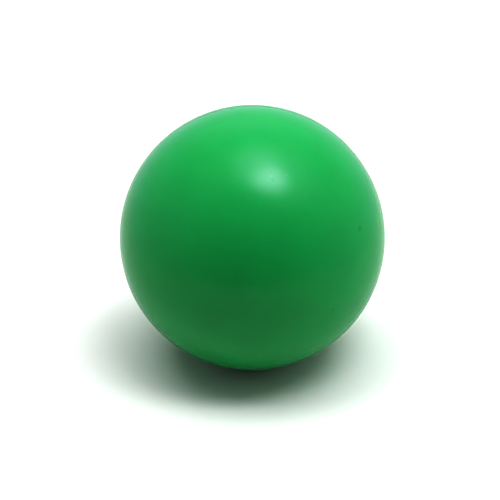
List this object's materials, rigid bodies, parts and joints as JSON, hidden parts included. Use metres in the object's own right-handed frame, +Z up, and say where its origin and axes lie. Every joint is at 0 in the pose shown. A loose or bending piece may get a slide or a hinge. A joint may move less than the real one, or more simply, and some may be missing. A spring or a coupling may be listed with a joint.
{
  "type": "massage ball",
  "caption": "Hollow soft ball with a smooth seamless skin and a flush air valve at the back, whose barbed plug pulls out of a sleeve moulded into the skin.",
  "frame": {"origin": "middle of the contact patch that the ball rests on, straight under its centre", "axes": "+Z up, -Z out of the contact patch, +Y from the ball's centre out through the valve, level with the centre"},
  "size_m": [0.065, 0.0648, 0.0648],
  "materials": {
    "soft_skin": "satin",
    "sleeve_plastic": "satin",
    "plug_plastic": "satin"
  },
  "bodies": {
    "ball": {"outer_skin": "soft_skin", "valve_sleeve": "sleeve_plastic"},
    "plug": {"valve_plug": "plug_plastic"}
  },
  "joints": [
    {"name": "plug_pull", "type": "slide", "parent": "ball", "child": "plug", "axis": [0, 1, 0], "range_m": [0, 0.014]}
  ]
}
